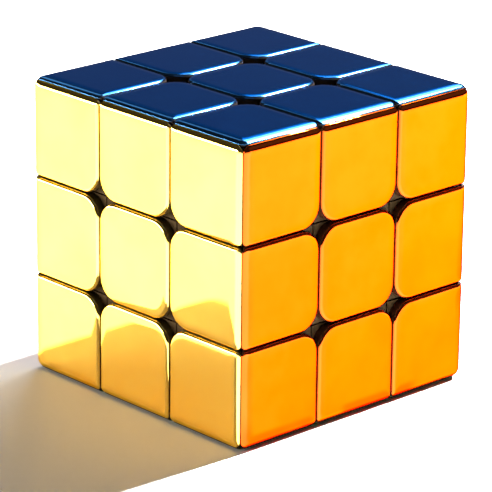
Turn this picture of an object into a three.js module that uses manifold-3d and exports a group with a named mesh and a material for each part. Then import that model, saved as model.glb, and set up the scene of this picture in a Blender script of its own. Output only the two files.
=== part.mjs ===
// A 3 x 3 x 3 twisting cube puzzle with mirror-plated caps on dark plastic pieces.
// Millimetres, +Z up. The origin is the centre of the cube, where the six turning axes cross.
import * as THREE from "three";
import { mergeVertices } from "three/addons/utils/BufferGeometryUtils.js";
import Module from "manifold-3d";

const wasm = await Module();
wasm.setup();

// ---------------------------------------------------------------- driving dimensions
const CUBE = 56; // across two opposite faces
const GAP = 0.3; // clearance between pieces that slide past each other
const CAP = 2; // thickness of a plated cap
const CAP_FIT = 0.05; // glue line between a cap and its base
const RIM = 1.0; // rounding of a cap's rim
const CUBE_EDGE = 2.0; // rounding of the cube's twelve outer edges
const STAR_RADIUS = 4.1; // cap corners that meet in fours and leave a star-shaped hole
const OUTER_RADIUS = 1.3; // cap corners that lie on the cube's outer edges
const WALL = 1.6; // wall of a hollow base

// The layers part at planes outside a ball, and at planes nearer the centre inside it.
// A foot inside the ball therefore tucks under its neighbour and can't fall out.
const HUB_CUT = 5.5; // the inner planes
const SHELL_BALL = 20.15; // everything outside this radius parts at the outer planes
const FOOT_THICKNESS = 4;
const CORE_BALL = 7.5;
const ARM_RADIUS = 4.5;
const ARM_REACH = 12.3; // how far the core's arms stand out from the centre

const SCREW_RADIUS = 1.3;
const SCREW_TIP = 5.2;
const HEAD_RADIUS = 2.8;
const HEAD_HEIGHT = 2;
const HEAD_SEAT = 20.6; // underside of the screw head
const HOLE_SLACK = 0.15; // radial room round a screw
const SPRING_FLOOR = 15; // the spring stands on this floor inside the centre's hub
const SPRING_WELL_RADIUS = 3.4;

const DARK_PLASTIC = { color: 0x1b1614, roughness: 0.5, metalness: 0 };
const CORE_PLASTIC = { color: 0x2a2725, roughness: 0.6, metalness: 0 };
const STEEL = { color: 0xb9bcc0, roughness: 0.3, metalness: 1 };
const PLATING = { roughness: 0.08, metalness: 1 };

const FACES = {
  up: { normal: new THREE.Vector3(0, 0, 1), color: 0x1f56b4 },
  down: { normal: new THREE.Vector3(0, 0, -1), color: 0x1f9a4a },
  front: { normal: new THREE.Vector3(0, -1, 0), color: 0xf6d24a },
  back: { normal: new THREE.Vector3(0, 1, 0), color: 0xd5d8dc },
  right: { normal: new THREE.Vector3(1, 0, 0), color: 0xff8a12 },
  left: { normal: new THREE.Vector3(-1, 0, 0), color: 0xc2202a },
};
const LAYERS = [
  ["up", "down"],
  ["front", "back"],
  ["right", "left"],
];

// ---------------------------------------------------------------- sizes that follow
const FACE = CUBE / 2; // a face's distance from the centre
const LAYER_CUT = CUBE / 6; // the outer planes between layers
const INNER_SIDE = LAYER_CUT - GAP / 2; // a middle piece reaches this far sideways
const OUTER_SIDE = LAYER_CUT + GAP / 2; // an outer piece starts here
const HUB_SIDE = HUB_CUT - GAP / 2;
const FOOT_SIDE = HUB_CUT + GAP / 2;
const CAP_UNDERSIDE = FACE - CAP;
const BASE_TOP = CAP_UNDERSIDE - CAP_FIT;
const FOOT_BALL = SHELL_BALL - GAP;
const POCKET_BALL = SHELL_BALL + WALL; // pockets stay outside this radius
const POCKET_END = BASE_TOP - WALL;
const THROUGH = 3; // how far a cutter runs past the surface it opens

// Facets on round shapes.
const BALL_STEPS = 16; // from pole to pole
const CORE_BALL_STEPS = 10;
const ROD_SIDES = 16;
const RIM_STEPS = 2;
const QUARTER_TURN_STEPS = new Map([
  [STAR_RADIUS, 5],
  [OUTER_RADIUS, 2],
  [CUBE_EDGE, 4],
]);

// ---------------------------------------------------------------- solids
function solidOf(geometry) {
  const bare = geometry.clone();
  bare.deleteAttribute("normal");
  bare.deleteAttribute("uv");
  const merged = mergeVertices(bare, 1e-4);
  return new wasm.Manifold(
    new wasm.Mesh({
      numProp: 3,
      vertProperties: merged.attributes.position.array,
      triVerts: new Uint32Array(merged.index.array),
    }),
  );
}

function geometryOf(solid) {
  const mesh = solid.getMesh();
  const geometry = new THREE.BufferGeometry();
  geometry.setAttribute("position", new THREE.BufferAttribute(mesh.vertProperties, 3));
  geometry.setIndex(new THREE.BufferAttribute(mesh.triVerts, 1));
  const faceted = geometry.toNonIndexed();
  faceted.computeVertexNormals();
  return faceted;
}

// A box between two opposite corners.
function box(low, high) {
  const size = high.map((value, axis) => value - low[axis]);
  const geometry = new THREE.BoxGeometry(...size);
  geometry.translate(...high.map((value, axis) => (value + low[axis]) / 2));
  return solidOf(geometry);
}

// A box that takes in the same stretch of X, Y and Z.
function cubeFrom(low, high) {
  return box([low, low, low], [high, high, high]);
}

// A faceted ball. Its corners lie on the radius, or its facets do when it is a cutter.
function ball(radius, steps = BALL_STEPS) {
  return solidOf(new THREE.SphereGeometry(radius, 2 * steps, steps));
}
function ballCutter(radius) {
  return ball(radius / Math.cos(Math.PI / (2 * BALL_STEPS)) ** 2);
}

// A round rod along Z.
function rod(radius, low, high) {
  const geometry = new THREE.CylinderGeometry(radius, radius, high - low, ROD_SIDES);
  geometry.rotateX(Math.PI / 2);
  geometry.translate(0, 0, (low + high) / 2);
  return solidOf(geometry);
}

// The outline of a rectangle with its own radius at each corner, anticlockwise from (low, low).
function roundedOutline([u0, u1], [v0, v1], radii) {
  const corners = [
    [u0 + radii[0], v0 + radii[0], Math.PI],
    [u1 - radii[1], v0 + radii[1], 1.5 * Math.PI],
    [u1 - radii[2], v1 - radii[2], 0],
    [u0 + radii[3], v1 - radii[3], 0.5 * Math.PI],
  ];
  const points = corners.flatMap(([u, v, start], corner) => {
    const radius = radii[corner];
    const steps = QUARTER_TURN_STEPS.get(radius);
    return Array.from({ length: steps + 1 }, (_, step) => {
      const angle = start + (step / steps) * (Math.PI / 2);
      return new THREE.Vector2(u + radius * Math.cos(angle), v + radius * Math.sin(angle));
    });
  });
  return new THREE.Shape(points);
}

// A cap lying on the +Z face: flat underneath, with a rounded rim round its top.
function capPlate(u, v, radii) {
  const geometry = new THREE.ExtrudeGeometry(roundedOutline(u, v, radii), {
    depth: CAP,
    bevelThickness: RIM,
    bevelSize: RIM,
    bevelOffset: -RIM,
    bevelSegments: RIM_STEPS,
  });
  geometry.translate(0, 0, FACE - RIM - CAP);
  return solidOf(geometry).intersect(box([-FACE, -FACE, CAP_UNDERSIDE], [FACE, FACE, FACE]));
}

// The same solid seen from a frame whose X, Y and Z lie along the three given axes.
function laidAlong(solid, xAxis, yAxis, zAxis) {
  const geometry = geometryOf(solid);
  geometry.applyMatrix4(new THREE.Matrix4().makeBasis(xAxis, yAxis, zAxis));
  return solidOf(geometry);
}

const X = new THREE.Vector3(1, 0, 0);
const Y = new THREE.Vector3(0, 1, 0);
const Z = new THREE.Vector3(0, 0, 1);

// The whole cube as one block with its outer edges rounded. The shells stay inside it.
function roundedCube() {
  const side = [-FACE, FACE];
  const outline = roundedOutline(side, side, Array(4).fill(CUBE_EDGE));
  const geometry = new THREE.ExtrudeGeometry(outline, { depth: CUBE, bevelEnabled: false });
  geometry.translate(0, 0, -FACE);
  const bar = solidOf(geometry);
  return bar.intersect(laidAlong(bar, Y, Z, X)).intersect(laidAlong(bar, Z, X, Y));
}

// ---------------------------------------------------------------- centre pieces, facing +Z
function centreCap() {
  const width = [-INNER_SIDE, INNER_SIDE];
  return capPlate(width, width, Array(4).fill(STAR_RADIUS));
}

// A square plinth that stands on a square hub. The hub holds the spring and the screw.
function centreBase() {
  const pocket = INNER_SIDE - WALL;
  const plinth = box([-INNER_SIDE, -INNER_SIDE, ARM_REACH], [INNER_SIDE, INNER_SIDE, BASE_TOP]);
  const hub = box([-HUB_SIDE, -HUB_SIDE, ARM_REACH + GAP], [HUB_SIDE, HUB_SIDE, POCKET_BALL]);
  return plinth
    .subtract(ballCutter(SHELL_BALL))
    .add(hub)
    .subtract(box([-pocket, -pocket, POCKET_BALL], [pocket, pocket, BASE_TOP + THROUGH]))
    .subtract(rod(SPRING_WELL_RADIUS, SPRING_FLOOR, BASE_TOP + THROUGH))
    .subtract(rod(SCREW_RADIUS + HOLE_SLACK, ARM_REACH, SPRING_FLOOR + THROUGH));
}

// A pan-head screw with a cross recess, turned on the Z axis.
function screw() {
  const top = HEAD_SEAT + HEAD_HEIGHT;
  const profile = [
    [0, SCREW_TIP],
    [SCREW_RADIUS, SCREW_TIP + SCREW_RADIUS],
    [SCREW_RADIUS, HEAD_SEAT],
    [HEAD_RADIUS, HEAD_SEAT],
    [HEAD_RADIUS, top - HEAD_HEIGHT / 3],
    [HEAD_RADIUS - HEAD_HEIGHT / 3, top],
    [0, top],
  ];
  const turned = new THREE.LatheGeometry(
    profile.map(([radius, height]) => new THREE.Vector2(radius, height)),
    ROD_SIDES,
  );
  turned.rotateX(Math.PI / 2);
  const slotHalfWidth = 0.4;
  const slotHalfLength = 1.6;
  const slotFloor = top - 1.2;
  const slotTop = top + THROUGH;
  return solidOf(turned)
    .subtract(
      box([-slotHalfLength, -slotHalfWidth, slotFloor], [slotHalfLength, slotHalfWidth, slotTop]),
    )
    .subtract(
      box([-slotHalfWidth, -slotHalfLength, slotFloor], [slotHalfWidth, slotHalfLength, slotTop]),
    );
}

// ---------------------------------------------------------------- edge pieces, facing +X and +Y
function edgeShell() {
  const plate = capPlate(
    [OUTER_SIDE, FACE],
    [-INNER_SIDE, INNER_SIDE],
    [STAR_RADIUS, OUTER_RADIUS, OUTER_RADIUS, STAR_RADIUS],
  );
  const facingX = laidAlong(plate, Y, Z, X);
  const facingY = laidAlong(plate, X, Z.clone().negate(), Y);
  return facingX.add(facingY).intersect(roundedCube());
}

// The pocket opens under both caps and leaves a post along the cube's outer edge.
function edgePocket() {
  const nearWall = OUTER_SIDE + WALL;
  const open = BASE_TOP + THROUGH;
  const length = 2 * (INNER_SIDE - WALL);
  const slope = Math.SQRT2 * POCKET_BALL; // x + y on the sloping floor
  const outline = new THREE.Shape(
    [
      [nearWall, slope - nearWall],
      [slope - nearWall, nearWall],
      [open, nearWall],
      [open, POCKET_END],
      [POCKET_END, POCKET_END],
      [POCKET_END, open],
      [nearWall, open],
    ].map(([x, y]) => new THREE.Vector2(x, y)),
  );
  const geometry = new THREE.ExtrudeGeometry(outline, { depth: length, bevelEnabled: false });
  geometry.translate(0, 0, -length / 2);
  return solidOf(geometry);
}

function edgeBase() {
  const plinth = box([OUTER_SIDE, OUTER_SIDE, -INNER_SIDE], [BASE_TOP, BASE_TOP, INNER_SIDE]);
  const foot = box([FOOT_SIDE, FOOT_SIDE, -HUB_SIDE], [FOOT_BALL, FOOT_BALL, HUB_SIDE]);
  const neckTop = SHELL_BALL;
  const neck = box([OUTER_SIDE, OUTER_SIDE, -HUB_SIDE], [neckTop, neckTop, HUB_SIDE]);
  return plinth
    .subtract(ballCutter(SHELL_BALL))
    .add(foot.intersect(ball(FOOT_BALL)).subtract(ballCutter(FOOT_BALL - FOOT_THICKNESS)))
    .add(neck)
    .subtract(edgePocket());
}

// ---------------------------------------------------------------- corner pieces, facing +X +Y +Z
function cornerShell() {
  const span = [OUTER_SIDE, FACE];
  const plate = capPlate(span, span, [STAR_RADIUS, OUTER_RADIUS, OUTER_RADIUS, OUTER_RADIUS]);
  const joined = plate.add(laidAlong(plate, Y, Z, X)).add(laidAlong(plate, Z, X, Y));
  return joined.intersect(roundedCube());
}

function cornerBase() {
  const pocketStart = (POCKET_BALL + WALL) / Math.sqrt(3);
  const open = BASE_TOP + THROUGH;
  const windows = [0, 1, 2].map((axis) => {
    const high = [POCKET_END, POCKET_END, POCKET_END];
    high[axis] = open;
    return box([pocketStart, pocketStart, pocketStart], high);
  });
  // The neck covers the patch where the outer and the inner planes both leave room.
  const neckTop = Math.sqrt(SHELL_BALL ** 2 - 2 * OUTER_SIDE ** 2) + GAP;
  const body = cubeFrom(OUTER_SIDE, BASE_TOP)
    .subtract(ballCutter(SHELL_BALL))
    .add(
      cubeFrom(FOOT_SIDE, FOOT_BALL)
        .intersect(ball(FOOT_BALL))
        .subtract(ballCutter(FOOT_BALL - FOOT_THICKNESS)),
    )
    .add(cubeFrom(OUTER_SIDE, neckTop));
  return windows.reduce((hollowed, window) => hollowed.subtract(window), body);
}

// ---------------------------------------------------------------- core
// A ball with six arms. Each arm takes one centre's screw.
function core() {
  const normals = Object.values(FACES).map((face) => face.normal);
  const pilotFloor = SCREW_TIP - GAP;
  const arm = rod(ARM_RADIUS, 0, ARM_REACH);
  const pilot = rod(SCREW_RADIUS + HOLE_SLACK, pilotFloor, ARM_REACH + THROUGH);
  const pointed = (solid, normal) => laidAlong(solid, ...frameFacing(normal));
  const hub = ball(CORE_BALL, CORE_BALL_STEPS);
  const spider = normals.reduce((joined, normal) => joined.add(pointed(arm, normal)), hub);
  return normals.reduce((drilled, normal) => drilled.subtract(pointed(pilot, normal)), spider);
}

// ---------------------------------------------------------------- placing
// Right-handed axes whose Z is the face's normal.
function frameFacing(normal) {
  const side = new THREE.Vector3(normal.z, normal.x, normal.y);
  return [side, normal.clone().cross(side), normal];
}

// Right-handed axes whose X and Y are the normals of an edge's two faces.
function frameOfEdge(first, second) {
  return [first, second, first.clone().cross(second)];
}

// Right-handed axes along the normals of a corner's three faces.
function frameOfCorner(first, second, third) {
  const rightHanded = first.clone().cross(second).dot(third) > 0;
  return rightHanded ? [first, second, third] : [second, first, third];
}

function place(group, axes) {
  group.quaternion.setFromRotationMatrix(new THREE.Matrix4().makeBasis(...axes));
  return group;
}

function part(name, geometry, look) {
  const mesh = new THREE.Mesh(geometry, new THREE.MeshStandardMaterial(look));
  mesh.name = name;
  return mesh;
}

function platedLook(face) {
  return { ...PLATING, color: FACES[face].color };
}

const shapes = {
  centreCap: geometryOf(centreCap()),
  centreBase: geometryOf(centreBase()),
  screw: geometryOf(screw()),
  edgeShell: geometryOf(edgeShell()),
  edgeBase: geometryOf(edgeBase()),
  cornerShell: geometryOf(cornerShell()),
  cornerBase: geometryOf(cornerBase()),
};

const cube = new THREE.Group();
cube.add(part("core", geometryOf(core()), CORE_PLASTIC));

for (const [face, { normal }] of Object.entries(FACES)) {
  const centre = place(new THREE.Group(), frameFacing(normal));
  centre.add(part(`${face}_screw`, shapes.screw, STEEL));
  centre.add(part(`${face}_centre_base`, shapes.centreBase, DARK_PLASTIC));
  centre.add(part(`${face}_centre_cap`, shapes.centreCap, platedLook(face)));
  cube.add(centre);
}

// An edge sits where two faces of different layers meet.
LAYERS.forEach((layer, index) => {
  for (const first of layer) {
    for (const second of LAYERS.slice(index + 1).flat()) {
      const axes = frameOfEdge(FACES[first].normal, FACES[second].normal);
      const edge = place(new THREE.Group(), axes);
      const name = `${first}_${second}_edge`;
      edge.add(part(`${name}_base`, shapes.edgeBase, DARK_PLASTIC));
      edge.add(part(`${name}_shell`, shapes.edgeShell, platedLook(first)));
      cube.add(edge);
    }
  }
});

// A corner sits where one face of each layer meets.
for (const first of LAYERS[0]) {
  for (const second of LAYERS[1]) {
    for (const third of LAYERS[2]) {
      const normals = [first, second, third].map((face) => FACES[face].normal);
      const corner = place(new THREE.Group(), frameOfCorner(...normals));
      const name = `${first}_${second}_${third}_corner`;
      corner.add(part(`${name}_base`, shapes.cornerBase, DARK_PLASTIC));
      corner.add(part(`${name}_shell`, shapes.cornerShell, platedLook(first)));
      cube.add(corner);
    }
  }
}

export default cube;
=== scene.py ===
"""The plated twisting cube as its maker finishes it: mirror plates, springs, washers, and a pale studio.

Lengths are millimetres, and MM turns them into the frame's metres where meshes and lights are made.
"""

import math

import bpy
from mathutils import Matrix, Vector


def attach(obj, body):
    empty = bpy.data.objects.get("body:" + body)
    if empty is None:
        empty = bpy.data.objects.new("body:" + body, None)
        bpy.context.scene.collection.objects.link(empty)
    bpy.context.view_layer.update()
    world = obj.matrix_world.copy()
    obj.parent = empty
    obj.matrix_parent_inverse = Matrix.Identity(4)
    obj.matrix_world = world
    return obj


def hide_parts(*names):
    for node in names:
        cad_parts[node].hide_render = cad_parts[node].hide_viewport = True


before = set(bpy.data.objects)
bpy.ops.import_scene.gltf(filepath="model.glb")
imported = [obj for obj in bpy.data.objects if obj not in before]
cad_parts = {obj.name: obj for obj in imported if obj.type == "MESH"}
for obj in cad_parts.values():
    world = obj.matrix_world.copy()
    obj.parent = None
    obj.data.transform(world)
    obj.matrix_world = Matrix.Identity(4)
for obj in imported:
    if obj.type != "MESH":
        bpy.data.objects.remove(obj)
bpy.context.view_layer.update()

MM = 0.001

# The cube and its plates, in millimetres.
FACE = 28.0  # from the cube's centre to a face
INNER_SIDE = 9.183  # from the cube's middle plane to the edge of a centre plate
OUTER_SIDE = 9.483  # from the cube's middle plane to the near edge of an outer plate
PLATE_DEPTH = 2.0  # how far a plate's skirt runs down
STAR_RADIUS = 4.1  # plate corners that meet four together
SEAM_CORNER_RADIUS = 1.3  # plate corners that meet two together on a cube edge
RIM_RADIUS = 0.65  # rounding along the grooves
CUBE_EDGE_RADIUS = 2.0  # rounding along the cube's twelve edges
MITRE_SEAM = 0.08  # half of the hairline between two plates on a cube edge
LIP_RADIUS = 0.12  # rounding where a plate's rim turns down into that hairline
SHOULDER_WIDTH = 1.3  # where the flat starts to fall away before the rim
SHOULDER_TILT = math.radians(7.5)  # how steep it is when it reaches the rim
SHOULDER_STEPS = 4
SHOULDER_RIM = 0.3  # how much like a rim the plating grows over the shoulder
SUPPORT = 0.05  # a narrow flat band that keeps the flat's shading flat
SHARPEST_CORNER = 0.1
SOFTEST_CORNER = 0.9

# Springs and washers under the screw heads, in millimetres from the cube's centre.
SPRING_FLOOR = 15.0
SPRING_TOP = 20.15
SPRING_RADIUS = 2.1
WIRE_RADIUS = 0.3
SPRING_COILS = 4.5
COIL_STEPS = 96
WASHER_FLOOR = 20.2
WASHER_TOP = 20.58
WASHER_RADIUS = 2.8
WASHER_HOLE = 1.45
WASHER_BEVEL = 0.06

# Each face: its outward direction, its two in-plane directions and its plating.
FACES = {
    "up": ((0, 0, 1), (1, 0, 0), (0, 1, 0), "blue_plating"),
    "down": ((0, 0, -1), (1, 0, 0), (0, -1, 0), "green_plating"),
    "front": ((0, -1, 0), (1, 0, 0), (0, 0, 1), "gold_plating"),
    "back": ((0, 1, 0), (-1, 0, 0), (0, 0, 1), "silver_plating"),
    "right": ((1, 0, 0), (0, 1, 0), (0, 0, 1), "orange_plating"),
    "left": ((-1, 0, 0), (0, -1, 0), (0, 0, 1), "red_plating"),
}


# ---------------------------------------------------------------- meshes

PLATE_CREASE = 30  # degrees of turn past which an edge is shaded sharp
HARDWARE_CREASE = 40


def mesh_object(name, vertices, polygons):
    """A smooth-shaded object from points in millimetres and polygons of point numbers."""
    mesh = bpy.data.meshes.new(name)
    mesh.from_pydata([Vector(p) * MM for p in vertices], [], polygons)
    mesh.polygons.foreach_set("use_smooth", [True] * len(mesh.polygons))
    mesh.update()
    made = bpy.data.objects.new(name, mesh)
    bpy.context.scene.collection.objects.link(made)
    return made


def mark_sharp(mesh, degrees):
    """Creases every edge whose two faces turn by more than this angle."""
    mesh.set_sharp_from_angle(angle=math.radians(degrees))


def shoulder_points(start):
    """Where the flat curves down towards a rim that begins at this inset.

    Each point is (inset, height, rim, skirt, outer). The last three run from 0 to 1 and steer the plating.
    """
    bend = SHOULDER_WIDTH / math.sin(SHOULDER_TILT)
    points = [(start + SHOULDER_WIDTH + SUPPORT, 0.0, 0.0, 0.0, 0.0)]
    for step in range(SHOULDER_STEPS):
        share = step / SHOULDER_STEPS
        tilt = SHOULDER_TILT * share
        inset = start + SHOULDER_WIDTH - bend * math.sin(tilt)
        points.append((inset, -bend * (1 - math.cos(tilt)), SHOULDER_RIM * share, 0.0, 0.0))
    return points


SHOULDER_DROP = SHOULDER_WIDTH / math.sin(SHOULDER_TILT) * (1 - math.cos(SHOULDER_TILT))
SHARED_TILTS = [SHOULDER_TILT] + [math.radians(d) for d in (15, 25, 33)]
SHARED_RIMS = (0.4, 0.6, 0.8, 1.0)
GROOVE_TILTS = [math.radians(d) for d in (45, 55, 65, 75, 90)]
GROOVE_SKIRTS = (0.15, 0.3, 0.5, 0.75, 1.0)
LIP_STEPS = 4
LIP_SKIRT = 0.6  # how bare the plastic is at the end of the lip, and halfway down the mitre
MITRE_SKIRT = 0.9


def groove_profile():
    """The same five values down a plate's side that faces a groove, from the flat to the skirt's foot."""
    points = shoulder_points(RIM_RADIUS * (1 - math.sin(SHOULDER_TILT)))
    rims = SHARED_RIMS + (1.0,) * len(GROOVE_TILTS)
    skirts = (0.0,) * len(SHARED_TILTS) + GROOVE_SKIRTS
    for tilt, rim, skirt in zip(SHARED_TILTS + GROOVE_TILTS, rims, skirts):
        inset = RIM_RADIUS * (1 - math.sin(tilt))
        drop = SHOULDER_DROP + RIM_RADIUS * (math.cos(SHOULDER_TILT) - math.cos(tilt))
        points.append((inset, -drop, rim, skirt, 0.0))
    middle = (PLATE_DEPTH - points[-1][1]) / 2
    points.append((0.0, -middle, 1.0, 1.0, 0.0))
    points.append((0.0, -PLATE_DEPTH, 1.0, 1.0, 0.0))
    return points


def cube_edge_centre():
    """How far inside both faces the centre line of a cube edge's rounding lies."""
    return SHOULDER_DROP + CUBE_EDGE_RADIUS * math.cos(SHOULDER_TILT)


def cube_edge_profile():
    """The same down a side that lies on a cube edge, where a small lip turns it down along the mitre."""
    centre = cube_edge_centre()
    shoulder = shoulder_points(centre - CUBE_EDGE_RADIUS * math.sin(SHOULDER_TILT))
    points = [(*values, k / len(shoulder)) for k, (*values, _) in enumerate(shoulder)]
    for tilt, rim in zip(SHARED_TILTS, SHARED_RIMS):
        inset = centre - CUBE_EDGE_RADIUS * math.sin(tilt)
        points.append((inset, -(centre - CUBE_EDGE_RADIUS * math.cos(tilt)), rim, 0.0, 1.0))
    wall = MITRE_SEAM / math.sqrt(2)
    lip_across = wall + LIP_RADIUS
    lip_out = math.sqrt((CUBE_EDGE_RADIUS - LIP_RADIUS) ** 2 - lip_across**2)
    lip_start = math.atan2(lip_across, lip_out)
    for step in range(LIP_STEPS + 1):
        turn = lip_start + (-math.pi / 2 - lip_start) * step / LIP_STEPS
        out = lip_out + LIP_RADIUS * math.cos(turn)
        across = lip_across + LIP_RADIUS * math.sin(turn)
        inset = centre + (across - out) / math.sqrt(2)
        height = -centre + (across + out) / math.sqrt(2)
        points.append((inset, height, 1.0, LIP_SKIRT * step / LIP_STEPS, 1.0))
    depth = -points[-1][1]
    for down, skirt in (((depth + PLATE_DEPTH) / 2, MITRE_SKIRT), (PLATE_DEPTH, 1.0)):
        points.append((down + MITRE_SEAM, -down, 1.0, skirt, 1.0))
    return points


PROFILES = {"groove": groove_profile(), "cube edge": cube_edge_profile()}


def corner_radius(kinds, own_radius, inset):
    """The rounding of one ring's corner: concentric outside, and never quite sharp on the flat."""
    wanted = cube_edge_centre() if kinds == {"cube edge"} else own_radius
    least = min(SHARPEST_CORNER + 0.5 * inset, SOFTEST_CORNER)
    return max(wanted - inset, least)


def ring(sides, radii, level, arc_steps):
    """One closed loop of a plate, counter-clockwise from above: (u, v, w) points with rim, skirt and outer.

    sides holds (place, direction, kind) for right, top, left and bottom. radii holds the corner after each.
    """
    loop = []
    for k in range(4):
        place_a, sign_a, kind_a = sides[k]
        place_b, sign_b, kind_b = sides[(k + 1) % 4]
        inset_a, *levels_a = PROFILES[kind_a][level]
        inset_b, *levels_b = PROFILES[kind_b][level]
        radius = corner_radius({kind_a, kind_b}, radii[k], (inset_a + inset_b) / 2)
        centre_a = place_a - sign_a * (inset_a + radius)
        centre_b = place_b - sign_b * (inset_b + radius)
        for step in range(arc_steps + 1):
            share = step / arc_steps
            turn = share * math.pi / 2
            along_a = centre_a + sign_a * radius * math.cos(turn)
            along_b = centre_b + sign_b * radius * math.sin(turn)
            blend = smooth_step(share)
            height, *shares = (a + (b - a) * blend for a, b in zip(levels_a, levels_b))
            u, v = (along_a, along_b) if k % 2 == 0 else (along_b, along_a)
            loop.append((clear_of_mitres(u, v, height), *shares))
    return loop


def smooth_step(share):
    return share * share * (3 - 2 * share)


def clear_of_mitres(u, v, height):
    """Keeps a point on its own side of the slanting planes that divide the faces."""
    reach = FACE + height - MITRE_SEAM
    return max(-reach, min(reach, u)), max(-reach, min(reach, v)), FACE + height


def side_places(cell):
    """Low and high side of a row or column of plates, each with its kind."""
    if cell == 0:
        return (-INNER_SIDE, "groove"), (INNER_SIDE, "groove")
    if cell > 0:
        return (OUTER_SIDE, "groove"), (FACE, "cube edge")
    return (-FACE, "cube edge"), (-OUTER_SIDE, "groove")


ARC_STEPS = 10


def plate_mesh(name, face, column, row):
    """One mirror plate, with its flat, its shoulder, its rounded rim and its skirt."""
    w_axis, u_axis, v_axis, _ = FACES[face]
    (low_u, low_u_kind), (high_u, high_u_kind) = side_places(column)
    (low_v, low_v_kind), (high_v, high_v_kind) = side_places(row)
    sides = [
        (high_u, 1, high_u_kind),
        (high_v, 1, high_v_kind),
        (low_u, -1, low_u_kind),
        (low_v, -1, low_v_kind),
    ]
    radii = []
    for k in range(4):
        kinds = {sides[k][2], sides[(k + 1) % 4][2]}
        radii.append(STAR_RADIUS if kinds == {"groove"} else SEAM_CORNER_RADIUS)
    levels = len(PROFILES["groove"])
    loops = [ring(sides, radii, level, ARC_STEPS) for level in range(levels)]
    width = len(loops[0])
    directions = Matrix((u_axis, v_axis, w_axis)).transposed()
    vertices = [directions @ Vector(point) for loop in loops for point, *_ in loop]
    polygons = [tuple(range(width))]
    for level in range(levels - 1):
        for k in range(width):
            here, there = level * width, (level + 1) * width
            following = (k + 1) % width
            polygons.append((here + k, there + k, there + following, here + following))
    foot = (levels - 1) * width
    polygons.append(tuple(foot + k for k in reversed(range(width))))
    made = mesh_object(name, vertices, polygons)
    mark_sharp(made.data, PLATE_CREASE)
    for attribute, index in (("rim", 1), ("skirt", 2), ("outer", 3)):
        values = [point[index] for loop in loops for point in loop]
        made.data.attributes.new(attribute, "FLOAT", "POINT").data.foreach_set("value", values)
    return made


def tube(path, radius, sides=10):
    """A round wire along a path of points, closed at both ends."""
    vertices, polygons = [], []
    for k, point in enumerate(path):
        ahead = path[min(k + 1, len(path) - 1)]
        behind = path[max(k - 1, 0)]
        along = (ahead - behind).normalized()
        out = (point - point.project(Vector((0, 0, 1)))).normalized()
        across = along.cross(out).normalized()
        out = across.cross(along)
        for s in range(sides):
            turn = 2 * math.pi * s / sides
            vertices.append(point + radius * (math.cos(turn) * out + math.sin(turn) * across))
    for k in range(len(path) - 1):
        for s in range(sides):
            a, b = k * sides + s, k * sides + (s + 1) % sides
            polygons.append((a, b, b + sides, a + sides))
    polygons.append(tuple(reversed(range(sides))))
    polygons.append(tuple((len(path) - 1) * sides + s for s in range(sides)))
    return vertices, polygons


def turned(profile, sides=32):
    """A ring turned round the z axis from a closed profile of (radius, height) points."""
    vertices, polygons = [], []
    count = len(profile)
    for s in range(sides):
        turn = 2 * math.pi * s / sides
        for radius, height in profile:
            vertices.append(Vector((radius * math.cos(turn), radius * math.sin(turn), height)))
    for s in range(sides):
        for k in range(count):
            here, there = s * count, (s + 1) % sides * count
            following = (k + 1) % count
            polygons.append((here + k, there + k, there + following, here + following))
    return vertices, polygons


def stood_on(face, vertices):
    """Points made round the z axis, turned to stand on one of the six arms."""
    w_axis, u_axis, v_axis, _ = FACES[face]
    directions = Matrix((u_axis, v_axis, w_axis)).transposed()
    return [directions @ v for v in vertices]


# ---------------------------------------------------------------- materials


class Nodes:
    """Shorthand for building one material's nodes in code."""

    def __init__(self, name):
        self.material = bpy.data.materials.new(name)
        self.material.use_nodes = True
        self.tree = self.material.node_tree
        self.shader = self.tree.nodes["Principled BSDF"]

    def add(self, kind, inputs=None, **settings):
        node = self.tree.nodes.new(kind)
        for key, value in settings.items():
            setattr(node, key, value)
        for key, value in (inputs or {}).items():
            self.set(node, key, value)
        return node

    def set(self, node, key, value):
        """Sets a socket to a constant, or links it if the value is another node's socket."""
        if isinstance(value, bpy.types.NodeSocket):
            self.tree.links.new(value, node.inputs[key])
        else:
            node.inputs[key].default_value = value

    def place(self, scale=(1, 1, 1)):
        """Positions that travel with the piece, in millimetres."""
        coords = self.add("ShaderNodeTexCoord")
        grow = [s / MM for s in scale]
        mapping = self.add("ShaderNodeMapping", {"Vector": coords.outputs["Object"], "Scale": grow})
        return mapping.outputs["Vector"]

    def share(self, attribute):
        """A number from 0 to 1 that the mesh holds at each point."""
        return self.add("ShaderNodeAttribute", attribute_name=attribute).outputs["Fac"]

    def noise(self, place, scale, detail=3.0, roughness=0.5):
        inputs = {"Vector": place, "Scale": scale, "Detail": detail, "Roughness": roughness}
        return self.add("ShaderNodeTexNoise", inputs).outputs["Fac"]

    def spread(self, value, low, high, out_low=0.0, out_high=1.0):
        """Maps low..high onto out_low..out_high, smoothly and clamped."""
        inputs = {0: value, 1: low, 2: high, 3: out_low, 4: out_high}
        return self.add("ShaderNodeMapRange", inputs, interpolation_type="SMOOTHSTEP").outputs[0]

    def math(self, operation, a, b=0.0):
        return self.add("ShaderNodeMath", {0: a, 1: b}, operation=operation).outputs[0]

    def mix(self, share, a, b):
        node = self.add("ShaderNodeMix", data_type="RGBA")
        self.set(node, "Factor", share)
        self.set(node, 6, a)
        self.set(node, 7, b)
        return node.outputs[2]

    def blend(self, share, a, b):
        """Mixes two surfaces."""
        return self.add("ShaderNodeMixShader", {0: share, 1: a, 2: b}).outputs[0]

    def bump(self, height, distance, under=None):
        inputs = {"Height": height, "Distance": distance * MM, "Strength": 1.0}
        if under is not None:
            inputs["Normal"] = under
        return self.add("ShaderNodeBump", inputs).outputs["Normal"]


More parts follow.
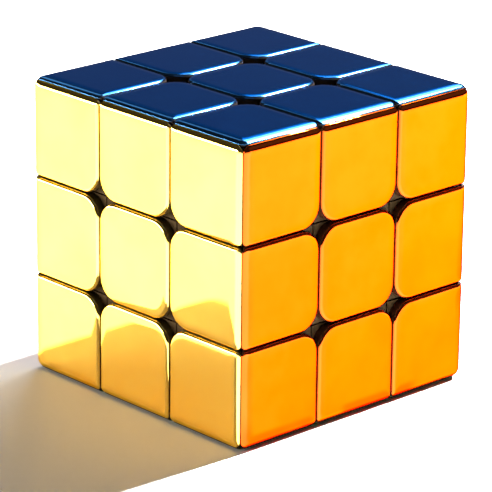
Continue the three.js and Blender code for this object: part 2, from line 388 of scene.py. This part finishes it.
def rgb(text):
    """A linear colour from a six-digit screen colour."""
    parts = [int(text[k : k + 2], 16) / 255 for k in (0, 2, 4)]
    linear = [p / 12.92 if p <= 0.04045 else ((p + 0.055) / 1.055) ** 2.4 for p in parts]
    return (*linear, 1.0)


SOOT = (0.0035, 0.0025, 0.002, 1)
PITCH = (0.042, 0.025, 0.010, 1)
# Painted contact shade: the dark brown that the cube's standing edges are darkened to.
CONTACT_SHADE_COLOUR = (0.030, 0.012, 0.008, 1)


def plating(name, face, cloud_and_shade_colour, rims, painted_edge_shade, grazing, scatter, softness, painted_contact_shade=0.0):
    """Vacuum plating over dark plastic: a near mirror with painted light and shade in its colours, thin down
    the skirt.

    The first four arguments are reflected colours, in order: the flat; its clouding, which also carries
    painted shade deepening towards the cube's bottom; the rims, paler as a painted highlight, and on the
    orange darker as painted shade in the grooves; and painted shade in streaks low along the cube's edges.
    grazing is the tint at a glancing view. scatter is the share of the light sent back broadly, and softness
    the least roughness. The last argument is how far the cube's edges are darkened to dark brown, as painted
    contact shade where the cube stands.
    """
    n = Nodes(name)
    place = n.place()
    rim = n.share("rim")
    skirt = n.share("skirt")
    outer = n.share("outer")
    ragged = n.noise(place, 0.9, 4.0)
    # Painted shade: the clouding also deepens each plate's colour towards the bottom of the cube at rest.
    height = n.add("ShaderNodeSeparateXYZ", {0: place}).outputs["Z"]
    painted_low_shade = n.spread(height, -FACE, 0.6 * FACE, 1.0, 0.0)
    cloud_and_shade_share = n.spread(n.noise(place, 0.09, 5.0, 0.6), 0.3, 0.7, 0.0, 0.5)
    cloud_and_shade_share = n.math("ADD", cloud_and_shade_share, n.math("MULTIPLY", painted_low_shade, 0.4))
    colour = n.mix(cloud_and_shade_share, face, cloud_and_shade_colour)
    # Painted highlight: the rims take a paler colour, and on the orange a darker one as painted shade in the
    # grooves.
    edge_share = n.spread(n.math("ADD", rim, n.math("MULTIPLY", ragged, 0.25)), 0.4, 0.8)
    colour = n.mix(edge_share, colour, rims)
    # Painted shade: a deeper colour in streaks low down along the cube's edges.
    shade_streaks = n.spread(n.noise(n.place((1.0, 1.0, 0.4)), 0.07, 2.0), 0.45, 0.6)
    edge_shade_share = n.math("MULTIPLY", n.spread(outer, 0.1, 0.7, 0.0, 0.6), n.math("MULTIPLY", shade_streaks, painted_low_shade))
    colour = n.mix(edge_shade_share, colour, painted_edge_shade)
    # Painted contact shade: where a plating takes it, the cube's edges go nearly to dark brown.
    contact_shade_share = n.spread(n.math("ADD", outer, n.math("MULTIPLY", ragged, 0.3)), 0.7, 1.0, 0.0, painted_contact_shade)
    colour = n.mix(contact_shade_share, colour, CONTACT_SHADE_COLOUR)
    speck = n.spread(n.noise(place, 6.0, 2.0), 0.72, 0.78)
    worn = n.math("MULTIPLY", n.spread(rim, 0.75, 1.0), speck)
    smudge = n.spread(n.noise(place, 0.16, 5.0, 0.6), 0.45, 0.75, 0.0, 0.03)
    streaks = n.noise(n.place((0.05, 1.2, 1.2)), 1.4, 4.0, 0.6)
    scratch = n.spread(streaks, 0.66, 0.72, 0.0, 0.03)
    rough = n.math("ADD", n.math("ADD", smudge, scratch), n.math("MULTIPLY", worn, 0.2))
    rough = n.math("ADD", rough, softness)
    gentle = n.bump(n.noise(place, 0.05, 1.0), 0.012)
    fine = n.bump(n.noise(place, 2.5, 3.0), 0.0002, gentle)
    lacquer = n.add("ShaderNodeBsdfPrincipled")
    for shader in (n.shader, lacquer):
        n.set(shader, "Base Color", colour)
        n.set(shader, "Specular Tint", grazing)
        n.set(shader, "Metallic", 1.0)
        n.set(shader, "Normal", fine)
    n.set(n.shader, "Roughness", rough)
    n.set(lacquer, "Roughness", n.math("ADD", rough, 0.5))
    plastic = n.add("ShaderNodeBsdfPrincipled")
    n.set(plastic, "Base Color", n.mix(0.03, n.mix(ragged, SOOT, PITCH), face))
    n.set(plastic, "Roughness", 0.45)
    n.set(plastic, "Specular IOR Level", 0.1)
    haze = n.spread(rim, 0.35, 0.6, scatter, 0.0)
    metal = n.blend(haze, n.shader.outputs[0], lacquer.outputs[0])
    bare = n.spread(n.math("ADD", skirt, n.math("MULTIPLY", ragged, 0.2)), 0.15, 0.85)
    n.set(n.tree.nodes["Material Output"], "Surface", n.blend(bare, metal, plastic.outputs[0]))
    return n.material


def moulded(name, colour, light, roughness):
    """Satin moulded plastic with a fine grain, rubbed paler on its edges."""
    n = Nodes(name)
    place = n.place()
    grain = n.noise(place, 4.0, 4.0)
    flow = n.noise(n.place((0.3, 0.3, 1.0)), 0.4, 3.0)
    geometry = n.add("ShaderNodeNewGeometry")
    edge = n.spread(geometry.outputs["Pointiness"], 0.52, 0.62)
    edge_share = n.math("MULTIPLY", edge, n.spread(n.noise(place, 1.5), 0.35, 0.65))
    body = n.mix(n.spread(flow, 0.3, 0.7, 0.0, 0.4), colour, light)
    rough = n.math("ADD", n.spread(grain, 0.3, 0.7, -0.07, 0.07), roughness)
    n.set(n.shader, "Base Color", n.mix(n.math("MULTIPLY", edge_share, 0.6), body, light))
    n.set(n.shader, "Roughness", n.math("SUBTRACT", rough, n.math("MULTIPLY", edge_share, 0.12)))
    n.set(n.shader, "Specular IOR Level", 0.02)
    n.set(n.shader, "Normal", n.bump(grain, 0.004))
    return n.material


def steel(name, colour, dark, roughness):
    """Drawn and turned steel with fine lines and a few dull patches."""
    n = Nodes(name)
    place = n.place()
    lines = n.noise(n.place((3.0, 3.0, 0.6)), 6.0, 4.0, 0.7)
    patch = n.spread(n.noise(place, 0.8, 4.0), 0.4, 0.7)
    n.set(n.shader, "Base Color", n.mix(n.math("MULTIPLY", patch, 0.5), colour, dark))
    n.set(n.shader, "Metallic", 1.0)
    rough = n.math("ADD", n.spread(lines, 0.3, 0.7, -0.06, 0.08), roughness)
    n.set(n.shader, "Roughness", n.math("ADD", rough, n.math("MULTIPLY", patch, 0.1)))
    n.set(n.shader, "Normal", n.bump(lines, 0.002))
    return n.material


def paper(name, colour):
    """The pale sheet the cube stands on."""
    n = Nodes(name)
    tooth = n.noise(n.place(), 0.5, 5.0)
    n.set(n.shader, "Base Color", colour)
    n.set(n.shader, "Roughness", n.spread(tooth, 0.3, 0.7, 0.6, 0.75))
    n.set(n.shader, "Specular IOR Level", 0.3)
    n.set(n.shader, "Normal", n.bump(tooth, 0.01))
    return n.material


# How each plating reflects, in the terms of plating() above. Their clouding, rim, edge and contact colours
# carry painted light and shade.
LOOKS = {
    "blue_plating": dict(
        face=(0.006, 0.06, 0.22, 1),
        cloud_and_shade_colour=(0.005, 0.05, 0.21, 1),
        rims=(0.05, 0.18, 0.4, 1),
        painted_edge_shade=(0.005, 0.045, 0.19, 1),
        grazing=(0.45, 0.51, 0.75, 1),
        scatter=0.003,
        softness=0.11,
    ),
    "green_plating": dict(
        face=(0.01, 0.12, 0.028, 1),
        cloud_and_shade_colour=(0.007, 0.09, 0.02, 1),
        rims=(0.03, 0.17, 0.05, 1),
        painted_edge_shade=(0.006, 0.07, 0.015, 1),
        grazing=(0.2, 0.5, 0.3, 1),
        scatter=0.01,
        softness=0.04,
        # Painted contact shade on the green's edges, where the cube stands.
        painted_contact_shade=0.97,
    ),
    "gold_plating": dict(
        face=(1.0, 0.65, 0.112, 1),
        cloud_and_shade_colour=(1.0, 0.56, 0.08, 1),
        rims=(1.0, 0.7, 0.15, 1),
        painted_edge_shade=(1.0, 0.54, 0.065, 1),
        grazing=(1.0, 0.6, 0.18, 1),
        scatter=0.15,
        softness=0.03,
    ),
    "silver_plating": dict(
        face=(0.13, 0.135, 0.145, 1),
        cloud_and_shade_colour=(0.095, 0.1, 0.11, 1),
        rims=(0.2, 0.205, 0.215, 1),
        painted_edge_shade=(0.08, 0.085, 0.095, 1),
        grazing=(0.5, 0.5, 0.52, 1),
        scatter=0.02,
        softness=0.03,
    ),
    "orange_plating": dict(
        face=(1.0, 0.08, 0.0025, 1),
        cloud_and_shade_colour=(1.0, 0.059, 0.0006, 1),
        # Darker rims on the orange: painted shade in its grooves.
        rims=(0.55, 0.09, 0.01, 1),
        painted_edge_shade=(1.0, 0.027, 0.0005, 1),
        grazing=(1.0, 0.18, 0.26, 1),
        scatter=0.03,
        softness=0.03,
    ),
    "red_plating": dict(
        face=(0.17, 0.007, 0.009, 1),
        cloud_and_shade_colour=(0.12, 0.004, 0.006, 1),
        rims=(0.26, 0.025, 0.028, 1),
        painted_edge_shade=(0.09, 0.003, 0.004, 1),
        grazing=(0.5, 0.1, 0.11, 1),
        scatter=0.005,
        softness=0.03,
    ),
}
PLATINGS = {slot: plating(slot, **look) for slot, look in LOOKS.items()}
DARK_PLASTIC = moulded("dark_plastic", PITCH, (0.085, 0.055, 0.026, 1), 0.45)
CORE_PLASTIC = moulded("core_plastic", rgb("3A3B3E"), rgb("56585C"), 0.42)
SCREW_STEEL = steel("screw_steel", rgb("C8CCD0"), rgb("8A8C8E"), 0.24)


# ---------------------------------------------------------------- pieces

OPPOSITE_PAIRS = (("up", "down"), ("front", "back"), ("right", "left"))


def faces_of(face, column, row):
    """The faces that the piece in this place shows, in the order its name gives them."""
    w_axis, u_axis, v_axis, _ = (Vector(d) if k < 3 else d for k, d in enumerate(FACES[face]))
    towards = w_axis + column * u_axis + row * v_axis
    pairs = [name for pair in OPPOSITE_PAIRS for name in pair]
    return [name for name in pairs if towards.dot(Vector(FACES[name][0])) > 0.5]


def dress_with_plates():
    """Fifty-four plates, each on the piece it is pressed onto, in place of the CAD shells and caps."""
    for face, (_, _, _, finish) in FACES.items():
        for column in (-1, 0, 1):
            for row in (-1, 0, 1):
                shown = faces_of(face, column, row)
                kind = ("centre", "edge", "corner")[len(shown) - 1]
                body = "_".join(shown + [kind])
                node = body + ("_cap" if kind == "centre" else "_shell")
                plate = plate_mesh("_".join([body, face, "plate"]), face, column, row)
                plate.data.materials.append(PLATINGS[finish])
                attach(plate, body)
                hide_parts(node)


def fit_springs_and_washers():
    """A coil spring and a flat washer on each screw, where they press the centre inwards."""
    coil = []
    for k in range(COIL_STEPS + 1):
        share = k / COIL_STEPS
        turn = 2 * math.pi * SPRING_COILS * share
        rise = SPRING_TOP - SPRING_FLOOR - 2 * WIRE_RADIUS
        height = SPRING_FLOOR + WIRE_RADIUS + rise * share
        coil.append(Vector((SPRING_RADIUS * math.cos(turn), SPRING_RADIUS * math.sin(turn), height)))
    soft = WASHER_BEVEL
    washer = [
        (WASHER_HOLE, WASHER_FLOOR + soft),
        (WASHER_HOLE + soft, WASHER_FLOOR),
        (WASHER_RADIUS - soft, WASHER_FLOOR),
        (WASHER_RADIUS, WASHER_FLOOR + soft),
        (WASHER_RADIUS, WASHER_TOP - soft),
        (WASHER_RADIUS - soft, WASHER_TOP),
        (WASHER_HOLE + soft, WASHER_TOP),
        (WASHER_HOLE, WASHER_TOP - soft),
    ]
    for face in FACES:
        for name, (vertices, polygons) in (
            ("spring", tube(coil, WIRE_RADIUS)),
            ("washer", turned(washer)),
        ):
            piece = mesh_object(face + "_" + name, stood_on(face, vertices), polygons)
            mark_sharp(piece.data, HARDWARE_CREASE)
            piece.data.materials.append(SCREW_STEEL)
            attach(piece, "core")


def finish_cad_nodes():
    """The mechanism's own parts keep their CAD shape and take a moulded or turned finish."""
    for name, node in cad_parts.items():
        if name == "core":
            finish = CORE_PLASTIC
        elif name.endswith("_screw"):
            finish = SCREW_STEEL
        else:
            finish = DARK_PLASTIC
        node.data.materials.clear()
        node.data.materials.append(finish)


# ---------------------------------------------------------------- studio

CAMERA_AZIMUTH = math.radians(46.88)
CAMERA_ELEVATION = math.radians(18.93)
CAMERA_ROLL = math.radians(0.613)
CAMERA_DISTANCE = 569.7
CAMERA_LENS = 229.82
SENSOR_WIDTH = 36.0
AIM_ASIDE = -0.606
AIM_HEIGHT = -3.47

FLOOR_REACH = 4000.0
FLOOR_STEPS = 24
FLOOR_GAP = 0.02  # keeps the sheet just clear of the plates that stand on it

# A small key stands behind the cube on the camera's right, and soft panels stand round it. Angles are in
# degrees: azimuth is counted from the right face's direction towards the back face's, and elevation from
# the floor.
KEY_AZIMUTH = 85.0
KEY_ELEVATION = 49.5
KEY_DISTANCE = 1000.0
KEY_WIDTH = 36.0
KEY_BRIGHTNESS = 26.0  # what the lamp sheds on a card held square to it at the cube
PANEL_DISTANCE = 1500.0
PANELS = {
    # name: azimuth, elevation, width, height, brightness, colour
    "softbox": (98, 49, 20, 9, 20),
    "softbox_edge": (117, 42, 28, 16, 8),
    "softbox_glow": (130, 31, 14, 12, 4.5),
    "backdrop": (137, 19, 50, 22, 0.40),
    "strip": (152, 38, 40, 5, 1.5),
    "side_card": (46, 20, 44, 22, 0.12, (1.0, 0.88, 1.0)),
    "low_strip": (226, 4, 60, 7, 40, (1.0, 0.95, 0.88)),
    "overhead": (-45, 65, 34, 28, 0.3, (0.6, 0.75, 1.0)),
}
ROOM = (0.04, 0.036, 0.034, 1)


def direction(azimuth, elevation):
    """A unit direction from its compass angle round z, counted from +x, and its height."""
    flat = math.cos(elevation)
    return Vector((flat * math.cos(azimuth), flat * math.sin(azimuth), math.sin(elevation)))


def lay_floor():
    """A wide pale sheet under the cube."""
    steps = FLOOR_STEPS
    vertices = []
    for j in range(steps + 1):
        for i in range(steps + 1):
            x = FLOOR_REACH * (2 * i / steps - 1)
            y = FLOOR_REACH * (2 * j / steps - 1)
            vertices.append((x, y, -FACE - FLOOR_GAP))
    row = steps + 1
    polygons = []
    for j in range(steps):
        for i in range(steps):
            a = j * row + i
            polygons.append((a, a + 1, a + 1 + row, a + row))
    floor = mesh_object("floor", vertices, polygons)
    floor.data.materials.append(paper("floor_paper", rgb("F4F2EE")))


def panel(name, azimuth, elevation, width, height, brightness, colour=(1, 1, 1)):
    """A soft panel facing the cube. Its direction, width and height are in degrees."""
    towards = direction(math.radians(azimuth), math.radians(elevation))
    data = bpy.data.lights.new(name, "AREA")
    data.shape = "RECTANGLE"
    data.size = 2 * PANEL_DISTANCE * math.tan(math.radians(width / 2)) * MM
    data.size_y = 2 * PANEL_DISTANCE * math.tan(math.radians(height / 2)) * MM
    data.energy = brightness * math.pi * data.size * data.size_y
    data.color = colour
    hang(data, towards, PANEL_DISTANCE)


def hang(light, towards, distance):
    """Puts a light in this direction from the cube, facing it."""
    lamp = bpy.data.objects.new(light.name, light)
    lamp.location = towards * distance * MM
    lamp.rotation_mode = "QUATERNION"
    lamp.rotation_quaternion = towards.to_track_quat("Z", "Y")
    bpy.context.scene.collection.objects.link(lamp)


def light_studio():
    key = bpy.data.lights.new("key", "AREA")
    key.shape = "DISK"
    key.size = KEY_WIDTH * MM
    key.energy = KEY_BRIGHTNESS * math.pi * (KEY_DISTANCE * MM) ** 2
    towards = direction(math.radians(KEY_AZIMUTH), math.radians(KEY_ELEVATION))
    hang(key, towards, KEY_DISTANCE)
    for name, settings in PANELS.items():
        panel(name, *settings)
    world = bpy.data.worlds.new("studio")
    world.use_nodes = True
    world.node_tree.nodes["Background"].inputs["Color"].default_value = ROOM
    world.node_tree.nodes["Background"].inputs["Strength"].default_value = 1.0
    bpy.context.scene.world = world
    bpy.context.scene.view_settings.view_transform = "Standard"


def place_camera():
    flat = math.cos(CAMERA_ELEVATION)
    ahead = Vector(
        (
            -math.sin(CAMERA_AZIMUTH) * flat,
            math.cos(CAMERA_AZIMUTH) * flat,
            -math.sin(CAMERA_ELEVATION),
        )
    )
    aside = ahead.cross(Vector((0, 0, 1))).normalized()
    above = aside.cross(ahead)
    x_axis = math.cos(CAMERA_ROLL) * aside + math.sin(CAMERA_ROLL) * above
    y_axis = -math.sin(CAMERA_ROLL) * aside + math.cos(CAMERA_ROLL) * above
    target = AIM_ASIDE * aside + Vector((0, 0, AIM_HEIGHT))
    data = bpy.data.cameras.new("camera")
    data.lens = CAMERA_LENS
    data.sensor_width = SENSOR_WIDTH
    data.clip_start, data.clip_end = 0.01, 20.0
    camera = bpy.data.objects.new("camera", data)
    turn = Matrix((x_axis, y_axis, -ahead)).transposed().to_4x4()
    camera.matrix_world = Matrix.Translation((target - ahead * CAMERA_DISTANCE) * MM) @ turn
    bpy.context.scene.collection.objects.link(camera)
    bpy.context.scene.camera = camera


finish_cad_nodes()
dress_with_plates()
fit_springs_and_washers()
lay_floor()
light_studio()
place_camera()
